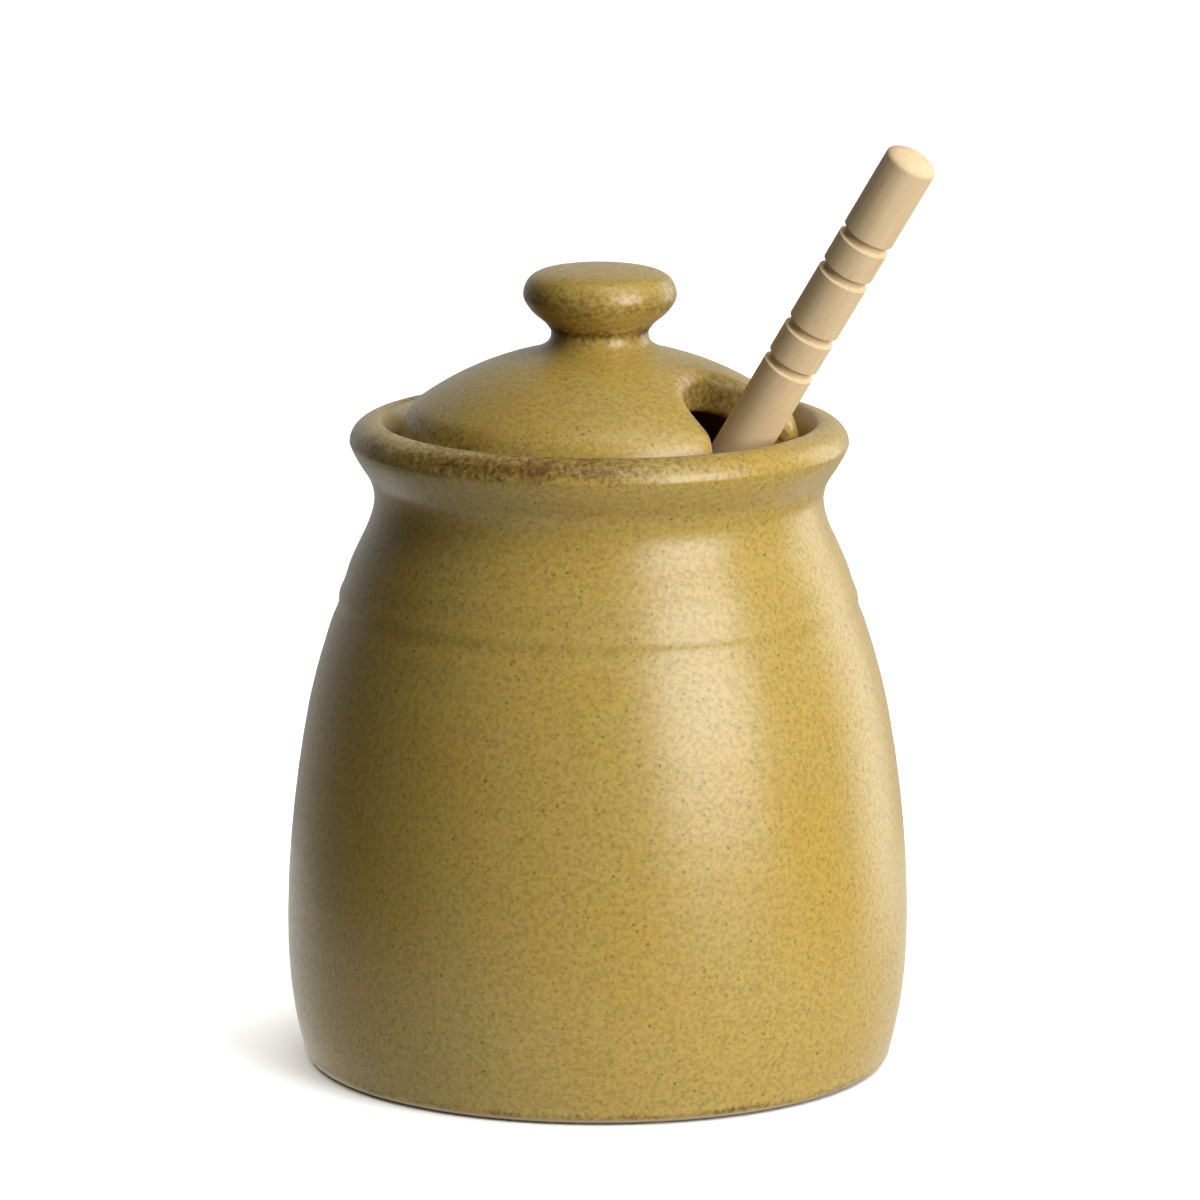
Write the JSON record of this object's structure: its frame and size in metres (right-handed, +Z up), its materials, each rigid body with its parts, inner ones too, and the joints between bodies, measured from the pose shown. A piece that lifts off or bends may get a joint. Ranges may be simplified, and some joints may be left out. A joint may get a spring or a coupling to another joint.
{
  "type": "honey pot",
  "caption": "Glazed stoneware honey pot with a gallery rim, a domed and notched lid with a bun knob, and a turned wooden dipper leaning out through the notch.",
  "frame": {"origin": "middle of the jar's flat base, on the surface it stands on", "axes": "+Z up along the jar's axis, -Y towards the picture's viewer, +X to the viewer's right; the dipper leans 30 degrees forward of +X"},
  "size_m": [0.107, 0.105, 0.1596],
  "materials": {
    "glazed_stoneware": "satin ochre glaze with fine brown speckle",
    "beech": "bare turned beech, lightly sanded"
  },
  "bodies": {
    "jar": {"jar": "glazed_stoneware"},
    "lid": {"lid": "glazed_stoneware"},
    "dipper": {"dipper": "beech"}
  },
  "joints": [
    {"name": "lid_lift", "type": "slide", "parent": "jar", "child": "lid", "axis": [0, 0, 1], "range_m": [0, 0.08]},
    {"name": "dipper_draw", "type": "slide", "parent": "jar", "child": "dipper", "axis": [0.4589, -0.265, 0.848], "range_m": [0, 0.055]}
  ]
}
